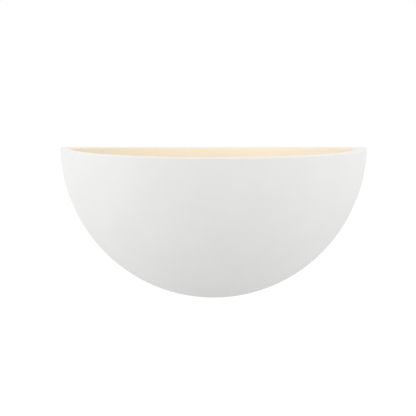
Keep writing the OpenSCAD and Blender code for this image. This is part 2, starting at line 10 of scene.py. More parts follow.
import bmesh
import bpy
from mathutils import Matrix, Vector


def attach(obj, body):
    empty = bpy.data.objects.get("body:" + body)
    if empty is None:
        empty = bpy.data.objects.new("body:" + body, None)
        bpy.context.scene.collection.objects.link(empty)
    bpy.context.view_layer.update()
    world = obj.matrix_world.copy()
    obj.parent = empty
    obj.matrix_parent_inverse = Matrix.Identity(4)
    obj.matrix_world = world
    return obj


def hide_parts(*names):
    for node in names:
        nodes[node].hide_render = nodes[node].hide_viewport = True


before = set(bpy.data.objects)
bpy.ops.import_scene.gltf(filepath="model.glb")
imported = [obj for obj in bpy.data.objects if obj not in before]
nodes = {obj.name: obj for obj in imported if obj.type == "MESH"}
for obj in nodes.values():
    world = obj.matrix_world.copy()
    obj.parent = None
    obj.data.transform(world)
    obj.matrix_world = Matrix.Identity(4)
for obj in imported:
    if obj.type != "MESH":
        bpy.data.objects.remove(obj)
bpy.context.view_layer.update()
scene = bpy.context.scene

# ---- Sizes that part.scad also has ---------------------------------------------------

RIM_UP, RIM_DROP = 50.0, 2.0
BOWL_R, WALL_T, BACK_T = 150.0, 9.0, 10.0
STUD_X, STUD_END, M4_R = 80.0, 22.0, 2.0
WASHER_T = 1.0
NIPPLE_R, NIPPLE_BORE_R, NIPPLE_FROM = 4.95, 3.6, 9.9
CAP_FROM = 17.5
WIRING_FROM = CAP_FROM + 5
INSERT_FROM = WIRING_FROM + 5
SKIRT_FROM, SKIRT_TO = CAP_FROM + 13.5, 60.0
HOLDER_R, NECK_R, NECK_END = 14.0, 12.4, CAP_FROM + 20.5
LAMP_SEAT = 33.0
SHELL_R, SHELL_T, SHELL_TO = 6.75, 0.5, LAMP_SEAT + 17
LAMP_CAP_R, LAMP_CAP_T, LAMP_CAP_FLARE = 6.7, 0.35, 8.3
LAMP_CAP_FROM, LAMP_CAP_TO = LAMP_SEAT + 4.4, LAMP_SEAT + 25.6
HOUSING_FOOT_R, HOUSING_R, HOUSING_T = 8.6, 20.8, 1.5
HOUSING_FROM, HOUSING_TO = LAMP_CAP_TO + 0.2, 77.5
HOUSING_END = HOUSING_TO + 3.6
GLOBE_R, GLOBE_T, GLOBE_CENTRE = 22.5, 1.2, 88.5
LAMP_PITCH, M4_PITCH, NIPPLE_PITCH = 2.822, 0.7, 1.0
WIRE_R = 1.1
ROUTES = {
    "wire_live": [
        (-26, -8, 10), (-26, -11.6, 10), (-25.3, -14.4, 9.6), (-23.4, -16.2, 9), (-20.8, -16.4, 8.2),
        (-18.2, -15, 7.6), (-15.4, -13, 7.1), (-12.6, -10.9, 6.8), (-9.8, -8.9, 6.8), (-7, -6.9, 6.8),
        (-4.2, -4.9, 6.9), (-1.9, -3.2, 7.5), (-0.3, -2, 8.9), (0.6, -1.4, 11), (0.9, -1.2, 13.6),
        (1.4, -0.6, 17), (1.5, 0, 20), (1.9, 0, 22.6), (3.3, 0, 24.4), (4.9, 0, 25.5), (5.7, 0, 26.8),
        (5.7, 0, 27.5),
    ],
    "wire_neutral": [
        (-18, -8, 10), (-18, -10.2, 10.2), (-17.2, -11.9, 10.4), (-15.6, -12.3, 10.5),
        (-13.6, -11, 10.3), (-11.2, -8.7, 9.9), (-8.8, -6.4, 9.2), (-6.4, -4.1, 8.5), (-4, -1.9, 8.1),
        (-2.2, -0.2, 8.6), (-1.2, 0.8, 10.2), (-0.9, 1.2, 12.6), (-1.3, 0.7, 16.4), (-1.5, 0, 20),
        (-1.9, 0, 22.6), (-3.3, 0, 24.4), (-4.9, 0, 25.5), (-5.7, 0, 26.8), (-5.7, 0, 27.5),
    ],
    "wire_earth": [
        (-34, -8, 10), (-34, -12, 10), (-33.4, -15.8, 10.2), (-31.4, -19.2, 10.6), (-28, -21.6, 11),
        (-23, -22.8, 11.4), (-17, -23, 11.7), (-11, -22.8, 11.9), (-5, -22, 11.8), (0.4, -20.8, 11.5),
        (5.4, -19, 10.7), (9.2, -16.9, 9.5), (12, -14.7, 7.9), (14.2, -13.3, 6.9), (16.4, -13, 6.7),
        (18.4, -13, 6.7),
    ],
}
SIDES = ((-1, "left"), (1, "right"))


def place(x, up, out):
    """A point of the wall frame in the row frame's metres."""
    return Vector((x, -out, up)) / 1000


def mm(length):
    return length / 1000


def clamped(*values):
    """The least of the values, kept from 0 to 1."""
    return max(0.0, min(1.0, *values))


# ---- Camera, as the photograph's -----------------------------------------------------

PHOTO_PX, FOCAL_PX, SENSOR = 416, 1526.7, 36


def face(thing, ahead):
    """Turns a camera or a light to look along a direction."""
    thing.rotation_mode = "QUATERNION"
    thing.rotation_quaternion = ahead.to_track_quat("-Z", "Y")


def make_camera():
    """The camera that gives the bowl the photograph's outline."""
    side, height, distance = -5.7, RIM_UP + 97.8, 1500.0
    yaw, pitch = math.radians(0.01), math.radians(-6.02)
    level = math.cos(pitch)
    data = bpy.data.cameras.new("camera")
    data.sensor_width = SENSOR
    data.lens = SENSOR * FOCAL_PX / PHOTO_PX
    data.clip_start = 0.05
    data.clip_end = 100
    camera = bpy.data.objects.new("camera", data)
    camera.location = place(side, height, distance)
    face(camera, Vector((math.sin(yaw) * level, math.cos(yaw) * level, math.sin(pitch))))
    scene.collection.objects.link(camera)
    scene.camera = camera


# ---- Light and floor -----------------------------------------------------------------

WHITE = (1, 1, 1, 1)
ROOM_LIGHT = 1.07
SOFTBOX_POWERS = (5.05, 3.65)
SOFTBOX_SIZE, SOFTBOX_X, SOFTBOX_Y, SOFTBOX_Z = 0.8, 1.7, -0.35, -0.15
SOFTBOX_AIM = Vector((0, -0.06, 0))
FLOOR_HALF, FLOOR_Z = 6.0, -0.60
FLOOR_PAINT, FLOOR_SEEN, FLOOR_GLOW = 0.63, 0.6, 0.45
LAMPLIGHT = (1.0, 0.75, 0.34)
GLOW_COLOUR, GLOW_POWER, GLOW_R = (1.0, 0.80, 0.46), 0.030, 0.019
BELT_LIGHTS, BELT_POWER, BELT_SPOT, BELT_UPLIFT, BELT_LEAN = 8, 0.048, 0.009, 0.55, 0.12
BELT_R, BELT_OUT = GLOBE_R + 0.8, GLOBE_CENTRE - 2


def cleared_tree(owner):
    """The empty node tree of a world or a material."""
    owner.use_nodes = True
    owner.node_tree.nodes.clear()
    return owner.node_tree


def shown_directly(tree):
    """1 for rays from the camera, and for reflected and refracted ones, otherwise 0."""
    path = tree.nodes.new("ShaderNodeLightPath")
    total = path.outputs["Is Camera Ray"]
    for ray in ("Is Glossy Ray", "Is Transmission Ray"):
        most = tree.nodes.new("ShaderNodeMath")
        most.operation = "MAXIMUM"
        tree.links.new(total, most.inputs[0])
        tree.links.new(path.outputs[ray], most.inputs[1])
        total = most.outputs[0]
    return total


def lit_and_seen(tree, lit, seen, output):
    """Gives the rays that light the scene one shader, and those that show it another."""
    mix = tree.nodes.new("ShaderNodeMixShader")
    tree.links.new(shown_directly(tree), mix.inputs["Fac"])
    tree.links.new(lit.outputs[0], mix.inputs[1])
    tree.links.new(seen.outputs[0], mix.inputs[2])
    tree.links.new(mix.outputs[0], tree.nodes.new(output).inputs["Surface"])


def make_world():
    """Even light from all round, before a backdrop that shows white."""
    world = bpy.data.worlds.new("world")
    scene.world = world
    tree = cleared_tree(world)
    light, backdrop = (tree.nodes.new("ShaderNodeBackground") for _ in range(2))
    for shader, strength in ((light, ROOM_LIGHT), (backdrop, 1.0)):
        shader.inputs["Strength"].default_value = strength
        shader.inputs["Color"].default_value = WHITE
    lit_and_seen(tree, light, backdrop, "ShaderNodeOutputWorld")


def make_floor():
    """A pale floor well below the sconce."""
    mesh = bpy.data.meshes.new("floor")
    corners = [(x * FLOOR_HALF, y * FLOOR_HALF, FLOOR_Z) for x, y in ((-1, -1), (1, -1), (1, 1), (-1, 1))]
    mesh.from_pydata(corners, [], [(0, 1, 2, 3)])
    floor = bpy.data.objects.new("floor", mesh)
    scene.collection.objects.link(floor)
    paint = bpy.data.materials.new("floor_paint")
    tree = cleared_tree(paint)
    lit, seen = (tree.nodes.new("ShaderNodeBsdfDiffuse") for _ in range(2))
    lit.inputs["Color"].default_value = (FLOOR_PAINT, FLOOR_PAINT, FLOOR_PAINT, 1)
    seen.inputs["Color"].default_value = (FLOOR_SEEN, FLOOR_SEEN, FLOOR_SEEN, 1)
    glow, both = tree.nodes.new("ShaderNodeEmission"), tree.nodes.new("ShaderNodeAddShader")
    glow.inputs["Strength"].default_value = FLOOR_GLOW
    tree.links.new(seen.outputs[0], both.inputs[0])
    tree.links.new(glow.outputs[0], both.inputs[1])
    lit_and_seen(tree, lit, both, "ShaderNodeOutputMaterial")
    mesh.materials.append(paint)


def add_light(name, shape, at, ahead, size, power, colour=(1, 1, 1)):
    """A light that shines ahead from a square or a disk, or all round where it has no shape."""
    data = bpy.data.lights.new(name, "AREA" if shape else "POINT")
    data.energy = power
    data.color = colour
    if shape:
        data.shape = shape
        data.size = size
    else:
        data.shadow_soft_size = size
    light = bpy.data.objects.new(name, data)
    light.location = at
    face(light, ahead)
    scene.collection.objects.link(light)
    return light


def make_softboxes():
    """Two soft boxes at the sides, a little below the sconce, the left one stronger."""
    for (side, name), power in zip(SIDES, SOFTBOX_POWERS):
        at = Vector((side * SOFTBOX_X, SOFTBOX_Y, SOFTBOX_Z))
        add_light(f"softbox_{name}", "SQUARE", at, SOFTBOX_AIM - at, SOFTBOX_SIZE, power)


def light_lamp(globe):
    """The lit globe's light, which rides with it and isn't seen itself.

    A soft glow goes all round, and more comes from the belt beside the chips, most of it upwards.
    """
    globe.visible_shadow = False
    lights = [add_light("lamp_glow", None, place(0, 0, GLOBE_CENTRE), place(0, 0, 1), GLOW_R, GLOW_POWER,
                        GLOW_COLOUR)]
    for k in range(BELT_LIGHTS):
        a = 2 * math.pi * (k + 0.5) / BELT_LIGHTS
        side, up = math.cos(a), math.sin(a)
        power = BELT_POWER / BELT_LIGHTS * (1 + BELT_UPLIFT * up)
        lights.append(add_light(f"lamp_belt_{k}", "DISK", place(BELT_R * side, BELT_R * up, BELT_OUT),
                                place(side, up, -BELT_LEAN), BELT_SPOT, power, LAMPLIGHT))
    for light in lights:
        light.visible_camera = False
        light.visible_glossy = False
        light.parent = globe


# ---- Materials -----------------------------------------------------------------------

ROW_X, ROW_Y = 0, 1


class Shader:
    """A material on Principled BSDF whose colour, roughness and bump come from nodes."""

    def __init__(self, slot, **sockets):
        self.slot = slot
        self.material = bpy.data.materials.new(slot)
        self.tree = cleared_tree(self.material)
        self.bsdf = self.node("ShaderNodeBsdfPrincipled")
        self.link(self.bsdf.outputs[0], self.node("ShaderNodeOutputMaterial").inputs["Surface"])
        for socket, value in sockets.items():
            self.bsdf.inputs[socket.replace("_", " ")].default_value = value
        self.coords = self.node("ShaderNodeTexCoord").outputs["Object"]
        self.normal = None

    def node(self, kind, **settings):
        made = self.tree.nodes.new(kind)
        for name, value in settings.items():
            setattr(made, name, value)
        return made

    def link(self, a, b):
        self.tree.links.new(a, b)

    def axis(self, index, of=None):
        """One coordinate of the point, or of another vector."""
        made = self.node("ShaderNodeSeparateXYZ")
        self.link(of or self.coords, made.inputs[0])
        return made.outputs[index]

    def stretched(self, scale):
        """Coordinates scaled by three factors, for a grain that runs one way."""
        mapping = self.node("ShaderNodeMapping")
        mapping.inputs["Scale"].default_value = scale
        self.link(self.coords, mapping.inputs["Vector"])
        return mapping.outputs[0]

    def warped(self, size, reach):
        """Coordinates pushed about by noise, by up to reach millimetres."""
        made = self.node("ShaderNodeTexNoise")
        made.inputs["Scale"].default_value = 1000 / size
        made.inputs["Detail"].default_value = 2
        self.link(self.coords, made.inputs["Vector"])
        push = self.node("ShaderNodeVectorMath", operation="MULTIPLY_ADD")
        self.link(made.outputs["Color"], push.inputs[0])
        push.inputs[1].default_value = (mm(2 * reach),) * 3
        self.link(self.coords, push.inputs[2])
        return push.outputs[0]

    def noise(self, size, detail=3.0, rough=0.55, at=None):
        """Noise whose features are about size millimetres across, from 0 to 1."""
        made = self.node("ShaderNodeTexNoise")
        made.inputs["Scale"].default_value = 1000 / size
        made.inputs["Detail"].default_value = detail
        made.inputs["Roughness"].default_value = rough
        self.link(at or self.coords, made.inputs["Vector"])
        return made.outputs["Fac"]

    def cells(self, size, feature="F1", output="Distance", at=None):
        """Cells about size millimetres across: distances in them, or a colour for each."""
        made = self.node("ShaderNodeTexVoronoi", feature=feature)
        made.inputs["Scale"].default_value = 1000 / size
        self.link(at or self.coords, made.inputs["Vector"])
        return made.outputs[output]

    def remap(self, value, a, b, low=0, high=1):
        """Takes a to low and b to high, with nothing past either."""
        made = self.node("ShaderNodeMapRange")
        for socket, number in (("From Min", a), ("From Max", b), ("To Min", low), ("To Max", high)):
            made.inputs[socket].default_value = number
        self.link(value, made.inputs["Value"])
        return made.outputs["Result"]

    def spread(self, noise, low=0, high=1):
        """Noise, most of which lies from 0.3 to 0.7, spread from low to high."""
        return self.remap(noise, 0.3, 0.7, low, high)

    def math(self, operation, a, b):
        made = self.node("ShaderNodeMath", operation=operation)
        for socket, value in zip(made.inputs, (a, b)):
            if isinstance(value, (int, float)):
                socket.default_value = value
            else:
                self.link(value, socket)
        return made.outputs[0]

    def blend(self, share, a, b):
        """Colour a where share is 0 and b where it is 1; either may be a socket."""
        made = self.node("ShaderNodeMix", data_type="RGBA")
        self.link(share, made.inputs["Factor"])
        for socket, value in ((made.inputs[6], a), (made.inputs[7], b)):
            if isinstance(value, tuple):
                socket.default_value = (*value, 1)
            else:
                self.link(value, socket)
        return made.outputs[2]

    def colour(self, value):
        self.link(value, self.bsdf.inputs["Base Color"])

    def rough(self, value):
        self.link(value, self.bsdf.inputs["Roughness"])

    def bump(self, height, depth):
        """Adds a bump whose full height is depth millimetres."""
        made = self.node("ShaderNodeBump")
        made.inputs["Strength"].default_value = 1.0
        made.inputs["Distance"].default_value = mm(depth)
        self.link(height, made.inputs["Height"])
        if self.normal is not None:
            self.link(self.normal, made.inputs["Normal"])
        self.normal = made.outputs[0]
        self.link(self.normal, self.bsdf.inputs["Normal"])


def tint(colour, by):
    return tuple(clamped(c * by) for c in colour)


def hollow(s):
    """1 on the inner faces of the bowl's wall and back, otherwise 0."""
    hollow_r = BOWL_R - WALL_T
    from_centre = s.node("ShaderNodeVectorMath", operation="DISTANCE")
    s.link(s.coords, from_centre.inputs[0])
    from_centre.inputs[1].default_value = place(0, RIM_UP + RIM_DROP, 0)
    wall = s.remap(from_centre.outputs["Value"], mm(hollow_r + 0.6), mm(hollow_r + 1.8), 1, 0)
    back = s.remap(s.axis(ROW_Y), mm(0.3 - BACK_T), mm(1 - BACK_T), 1, 0)
    return s.math("MULTIPLY", wall, back)


def plaster():
    """Cast gypsum: matt, almost even, with a fine tooth, faint sanding and a few small air pits."""
    s = Shader("plaster", Specular_IOR_Level=0.25)
    base = (0.835, 0.833, 0.826)
    fine = s.remap(s.noise(1.6, 3), 0.35, 0.65)
    mottled = s.blend(s.spread(s.noise(38, 4)), tint(base, 0.985), tint(base, 1.012))
    outside = s.blend(s.math("MULTIPLY", fine, 0.35), mottled, tint(base, 0.965))
    # The inside's colour holds painted warm lamplight, and painted light from the left that makes it lighter
    # and less warm towards the right.
    painted_lamplight = s.blend(s.remap(s.axis(ROW_X), mm(-110), mm(90)), (0.838, 0.779, 0.675), (0.897, 0.841, 0.748))
    grain_share = s.math("MULTIPLY", s.math("SUBTRACT", 1, fine), 0.3)
    inside = s.blend(grain_share, painted_lamplight, (0.867, 0.814, 0.722))
    # The open face of the casting, against the wall, is scraped and duller.
    back = s.remap(s.axis(ROW_Y), mm(-1.2), mm(-0.3))
    scrapes = s.noise(9, 5, 0.65, s.stretched((0.25, 1, 1)))
    scraped = s.blend(scrapes, (0.66, 0.64, 0.60), (0.76, 0.745, 0.71))
    s.colour(s.blend(back, s.blend(hollow(s), outside, inside), scraped))
    s.rough(s.spread(s.noise(3, 3), 0.78, 0.92))
    tooth, swell = s.noise(0.55, 4, 0.6), s.noise(14, 3)
    sanding = s.noise(2.2, 3, 0.6, s.stretched((1, 1, 0.12)))
    pits = s.remap(s.cells(5.5), 0.035, 0.075)
    gouges = s.math("MULTIPLY", back, s.noise(3.0, 5, 0.7))
    for height, depth in ((tooth, 0.035), (swell, 0.10), (sanding, 0.018), (pits, 0.10), (gouges, 0.5)):
        s.bump(height, depth)
    return s


def metal(name, colour, gloss, grain=(1, 1, 1), size=1.2, wear=0.92):
    """Bare or plated metal with an uneven gloss and fine handling marks."""
    s = Shader(name, Metallic=1.0)
    s.colour(s.blend(s.spread(s.noise(6, 3)), tint(colour, wear), colour))
    s.rough(s.spread(s.noise(size, 4, 0.6, s.stretched(grain)), *gloss))
    s.bump(s.noise(size * 0.6, 3, 0.6, s.stretched(grain)), 0.012)
    return s


def galvanised():
    """Zinc from a hot bath: feathery crystals of close greys, each with a gloss of its own."""
    s = Shader("galvanised_steel", Metallic=1.0)
    crystal_size = 5.0
    ragged = s.warped(2.4, 0.9)
    crystal = s.node("ShaderNodeSeparateColor")
    s.link(s.cells(crystal_size, output="Color", at=ragged), crystal.inputs[0])
    feather = s.noise(1.1, 5, 0.7, s.stretched((1, 1, 0.35)))
    grey = s.blend(crystal.outputs[0], (0.57, 0.585, 0.60), (0.70, 0.715, 0.73))
    s.colour(s.blend(s.math("MULTIPLY", feather, 0.4), grey, (0.76, 0.77, 0.785)))
    gloss = s.remap(crystal.outputs[1], 0, 1, 0.30, 0.46)
    s.rough(s.math("ADD", gloss, s.spread(feather, -0.04, 0.04)))
    s.bump(s.cells(crystal_size, feature="DISTANCE_TO_EDGE", at=ragged), 0.012)
    s.bump(feather, 0.012)
    return s


def moulded(name, colour, gloss=(0.32, 0.44), bump=0.012, size=0.5, dust=0.97, **sockets):
    """Moulded plastic, rubber, glass or ceramic: even colour with slight clouding and a fine skin."""
    s = Shader(name, **sockets)
    s.colour(s.blend(s.spread(s.noise(11, 3)), tint(colour, dust), colour))
    s.rough(s.spread(s.noise(4, 3), *gloss))
    s.bump(s.noise(size, 3, 0.6), bump)
    return s


def opal():
    """Opal cover, lit from inside: an even glow, fainter at the foot, which the housing shades."""
    s = Shader("opal_cover", Coat_Weight=0.2, Emission_Strength=0.3)
    past_foot = s.remap(s.axis(ROW_Y), mm(-80.8), mm(-90))
    s.link(s.blend(past_foot, (0.5, 0.36, 0.2), LAMPLIGHT), s.bsdf.inputs["Emission Color"])
    s.colour(s.blend(s.math("MULTIPLY", s.noise(9, 2), 0.3), (0.84, 0.82, 0.76), (0.80, 0.77, 0.70)))
    s.rough(s.spread(s.noise(5, 2), 0.28, 0.36))
    return s


def fibre():
    """Vulcanised fibre: brick red, with short matted strands."""
    s = Shader("fibre")
    strands = s.noise(0.7, 4, 0.7, s.stretched((1, 0.3, 0.35)))
    s.colour(s.blend(strands, (0.30, 0.075, 0.040), (0.52, 0.17, 0.095)))
    s.rough(s.spread(strands, 0.55, 0.75))
    s.bump(strands, 0.04)
    return s


def striped_insulation():
    """Green and yellow earth insulation: stripes that run the length of the wire."""
    s = Shader("insulation_green_yellow", Specular_IOR_Level=0.4)
    round_wire = s.axis(0, of=s.node("ShaderNodeTexCoord").outputs["UV"])
    edge = s.remap(s.math("PINGPONG", round_wire, 0.25), 0.120, 0.130)
    s.colour(s.blend(edge, (0.030, 0.20, 0.050), (0.72, 0.56, 0.030)))
    s.rough(s.spread(s.noise(2, 2), 0.34, 0.46))
    s.bump(s.noise(0.8, 2), 0.01)
    return s


def board(name, colour, tracks):
    """Circuit board: solder mask with tracks that show through it."""
    s = Shader(name, Coat_Weight=0.25)
    lines = s.remap(s.cells(3.2, feature="DISTANCE_TO_EDGE"), 0.02, 0.06, 1, 0)
    s.colour(s.blend(lines, colour, tracks))
    s.rough(s.spread(s.noise(2, 2), 0.30, 0.42))
    s.bump(lines, 0.03)
    return s


def make_materials():
    """Every material by its slot's name."""
    made = [
        plaster(),
        galvanised(),
        metal("zinc_plated_steel", (0.74, 0.76, 0.79), (0.20, 0.36), size=0.9),
        metal("brass", (0.83, 0.62, 0.27), (0.20, 0.34), size=1.0, wear=0.86),
        metal("spring_bronze", (0.78, 0.48, 0.29), (0.22, 0.36), grain=(1, 0.1, 1), wear=0.85),
        metal("nickel_plate", (0.80, 0.78, 0.74), (0.16, 0.30), size=0.8),
        metal("tinned_copper", (0.74, 0.70, 0.64), (0.28, 0.44), wear=0.88),
        moulded("black_glass", (0.012, 0.012, 0.014), (0.06, 0.14), 0.006, 1.5),
        moulded("grommet_rubber", (0.022, 0.022, 0.023), (0.55, 0.72), 0.03, 0.4, 0.8),
        moulded("holder_thermoplastic", (0.80, 0.79, 0.76)),
        moulded("insert_ceramic", (0.79, 0.76, 0.69), (0.18, 0.40), 0.02, 0.9, 0.93),
        moulded("lamp_housing_plastic", (0.82, 0.82, 0.80), (0.28, 0.38), 0.01),
        opal(),
        board("led_board", (0.80, 0.80, 0.78), (0.70, 0.70, 0.68)),
        moulded("led_phosphor", (0.86, 0.60, 0.10), (0.30, 0.45), 0.02, 0.2, 0.85),
        board("driver_board", (0.02, 0.16, 0.06), (0.05, 0.30, 0.12)),
        moulded("block_nylon", (0.80, 0.79, 0.73), (0.36, 0.50), 0.015,
                Subsurface_Weight=0.1, Subsurface_Scale=0.002),
        fibre(),
        moulded("insulation_brown", (0.13, 0.045, 0.018), (0.34, 0.46)),
        moulded("insulation_blue", (0.025, 0.10, 0.42), (0.34, 0.46)),
        striped_insulation(),
    ]
    return {shader.slot: shader.material for shader in made}


# ---- Mesh helpers --------------------------------------------------------------------

def finish_mesh(node, finish, verts, faces, slot, body, sharp=35, uvs=None):
    """A piece from points in the wall frame, in place of a CAD node; finish ends its name."""
    name = f"{node}_{finish}"
    mesh = bpy.data.meshes.new(name)
    mesh.from_pydata([place(*v) for v in verts], [], faces)
    if uvs is not None:
        layer = mesh.uv_layers.new(name="UVMap")
        for loop in mesh.loops:
            layer.data[loop.index].uv = uvs[loop.vertex_index]
    bm = bmesh.new()
    bm.from_mesh(mesh)
    bmesh.ops.recalc_face_normals(bm, faces=bm.faces)
    bm.to_mesh(mesh)
    bm.free()
    mesh.polygons.foreach_set("use_smooth", [True] * len(mesh.polygons))
    mesh.set_sharp_from_angle(angle=math.radians(sharp))
    piece = bpy.data.objects.new(name, mesh)
    scene.collection.objects.link(piece)
    mesh.materials.append(materials[slot])
    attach(piece, body)
    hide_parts(node)
    return piece


def fillet(points, radii, steps=5):
    """A polyline with its inner corners rounded, by one radius for each point."""
    out = []
    for i, r in enumerate(radii):
        p = Vector(points[i])
        if r == 0:
            out.append(tuple(points[i]))
            continue
        da, db = Vector(points[i - 1]) - p, Vector(points[i + 1]) - p
        angle = da.angle(db)
        if angle > math.pi - 0.02:  # as good as straight
            out.append(tuple(p))
            continue
        back = min(r / math.tan(angle / 2), 0.49 * da.length, 0.49 * db.length)
        start, end = p + da.normalized() * back, p + db.normalized() * back
        true_r = back * math.tan(angle / 2)
        centre = p + (da.normalized() + db.normalized()).normalized() * (true_r / math.sin(angle / 2))
        turn = math.pi - angle
        va, vb = start - centre, end - centre
        for k in range(steps + 1):
            share = k / steps
            v = (va * math.sin((1 - share) * turn) + vb * math.sin(share * turn)) / math.sin(turn)
            out.append(tuple(centre + v))
    return out


def closed_fillet(points, radii, steps):
    """A closed outline with rounded corners, whose first point lies on a straight side."""
    return fillet(points + points[:1], radii + [0], steps)[:-1]


def dense(points, step, beyond=0.0):
    """The polyline with no segment longer than step where its radius is past beyond."""
    out = [tuple(points[0])]
    for a, b in zip(points, points[1:]):
        n = max(1, math.ceil(math.dist(a, b) / step)) if min(a[0], b[0]) > beyond else 1
        out += [tuple(a[k] + (b[k] - a[k]) * i / n for k in range(2)) for i in range(1, n + 1)]
    return out


def turned(profile, at=(0, 0), steps=96, shape=None, closed=True):
    """Points and faces of a profile of (radius, out) turned round the axis at (x, up)."""
    verts, faces, rows = [], [], []
    for r, s in profile:
        if r < 1e-6:
            rows.append([len(verts)] * steps)
            verts.append((at[0], at[1], s))
            continue
        rows.append(list(range(len(verts), len(verts) + steps)))
        for k in range(steps):
            a = 2 * math.pi * k / steps
            q = shape(r, s, a) if shape else r
            verts.append((at[0] + q * math.cos(a), at[1] + q * math.sin(a), s))
    following = rows[1:] + rows[:1] if closed else rows[1:]
    for row, after in zip(rows, following):
        for k in range(steps):
            n = (k + 1) % steps
            corners = tuple(dict.fromkeys((row[k], row[n], after[n], after[k])))
            if len(corners) > 2:
                faces.append(corners)
    return verts, faces


def thread(pitch, depth, start, end, fade, between, sharp=False):
    """A shape that winds like a right-hand thread from start to end, at the radii between two."""
    def shape(r, s, angle):
        if not between[0] < r < between[1]:
            return r
        turn = (s / pitch - angle / (2 * math.pi)) % 1.0
        wave = abs(2 * turn - 1) * 2 - 1 if sharp else math.cos(2 * math.pi * turn)
        return r + depth * wave * clamped((s - start) / fade, (end - s) / fade)

    return shape


def smooth_path(points, per=6):
    """Catmull-Rom curve through the points, with per steps between each two."""
    p = [Vector(v) for v in points]
    p = [2 * p[0] - p[1]] + p + [2 * p[-1] - p[-2]]
    out = []
    for i in range(1, len(p) - 2):
        a, b, c, d = p[i - 1], p[i], p[i + 1], p[i + 2]
        for k in range(per):
            t = k / per
            out.append(0.5 * ((2 * b) + (c - a) * t + (2 * a - 5 * b + 4 * c - d) * t * t
                              + (3 * b - a - 3 * c + d) * t ** 3))
    return out + [p[-2]]


def tube(points, r, sides=20):
    """Points, faces and UVs of a round tube along a curve, without twist, closed at both ends."""
    path = smooth_path(points)
    verts, uvs, faces, rows = [], [], [], []
    side = None
    run = 0.0
    for i, p in enumerate(path):
        ahead = (path[min(i + 1, len(path) - 1)] - path[max(i - 1, 0)]).normalized()
        side = side or Vector((ahead.z, ahead.x, ahead.y))
        side = (side - ahead * side.dot(ahead)).normalized()
        other = ahead.cross(side)
        run += (p - path[i - 1]).length if i else 0.0
        rows.append(list(range(len(verts), len(verts) + sides)))
        for k in range(sides):
            a = 2 * math.pi * k / sides
            verts.append(tuple(p + r * (math.cos(a) * side + math.sin(a) * other)))
            uvs.append((k / sides, run))
    for row, after in zip(rows, rows[1:]):
        for k in range(sides):
            n = (k + 1) % sides
            faces.append((row[k], row[n], after[n], after[k]))
    faces += [tuple(reversed(rows[0])), tuple(rows[-1])]
    return verts, faces, uvs


# ---- Pieces --------------------------------------------------------------------------

def make_thumb_nuts():
    """Turned brass nuts with a knurled head, eased at both ends, and a chamfered bore."""
    seat = BACK_T + WASHER_T
    knurl_from, top = seat + 2.5, seat + 8.0
    bore, boss_r, head_r, chamfer = M4_R + 0.05, 5.0, 7.5, 0.35
    flutes, depth = 28, 0.6
    corners = [(bore, seat + chamfer), (bore + chamfer, seat), (boss_r, seat), (boss_r, knurl_from),
               (head_r, knurl_from), (head_r, top), (bore + 0.9, top), (bore + chamfer, top),
               (bore, top - chamfer)]
    profile = fillet(corners, [0, 0.05, 0.35, 0.3, 0.7, 0.9, 0.05, 0.05, 0], 4)

    def knurl(r, s, angle):
        share = clamped((r - boss_r - 0.4) / 1.6) if s > knurl_from - 0.01 else 0.0
        return r - depth * share * (0.5 - 0.5 * math.cos(flutes * angle))

    for side, name in SIDES:
        verts, faces = turned(profile, (side * STUD_X, 0), 8 * flutes, knurl)
        finish_mesh(f"thumb_nut_{name}", "knurled", verts, faces, "brass", f"thumb_nut_{name}", sharp=50)


def make_washers():
    """Pressed washers with rounded edges, clear of the bowl's face by a hair."""
    bore, rim, low, high = 2.15, 6.5, BACK_T + 0.02, BACK_T + WASHER_T
    profile = closed_fillet([(bore, high - 0.5), (bore, low), (rim, low), (rim, high), (bore, high)],
                            [0, 0.15, 0.2, 0.2, 0.15], 3)
    for side, name in SIDES:
        verts, faces = turned(profile, (side * STUD_X, 0), 64)
        finish_mesh(f"washer_{name}", "pressed", verts, faces, "fibre", f"washer_{name}")


def make_studs():
    """M4 studs with their rolled thread, the flat head pressed into the bracket from behind."""
    start, end, head_r, head_t, blank_r, mean_r = 2.6, STUD_END, 3.0, 1.2, 1.99, M4_R - 0.2
    profile = [(0, 0), (head_r - 0.2, 0), (head_r, 0.15), (head_r, head_t), (blank_r, head_t),
               (blank_r, start - 0.7)]
    profile += dense([(mean_r, start - 0.6), (mean_r, end - 0.7)], M4_PITCH / 10)
    profile += [(M4_R - 0.55, end - 0.1), (M4_R - 0.7, end), (0, end)]
    shape = thread(M4_PITCH, 0.20, start, end - 0.2, 0.5, (0, blank_r - 0.04), sharp=True)
    for side, name in SIDES:
        verts, faces = turned(profile, (side * STUD_X, 0), 40, shape, closed=False)
        finish_mesh(f"stud_{name}", "threaded", verts, faces, "zinc_plated_steel", "root")


def make_nipple():
    """Threaded nipple, open from end to end for the wires."""
    end, mean_r, end_r = WIRING_FROM, NIPPLE_R - 0.24, NIPPLE_R - 0.6
    profile = [(NIPPLE_BORE_R, NIPPLE_FROM), (end_r, NIPPLE_FROM)]
    profile += dense([(mean_r, NIPPLE_FROM + 0.3), (mean_r, end - 0.3)], NIPPLE_PITCH / 10)
    profile += [(end_r, end), (NIPPLE_BORE_R, end)]
    shape = thread(NIPPLE_PITCH, 0.22, NIPPLE_FROM, end, 0.6, (end_r + 0.1, NIPPLE_R), sharp=True)
    verts, faces = turned(profile, steps=64, shape=shape)
    finish_mesh("holder_nipple", "threaded", verts, faces, "zinc_plated_steel", "root")


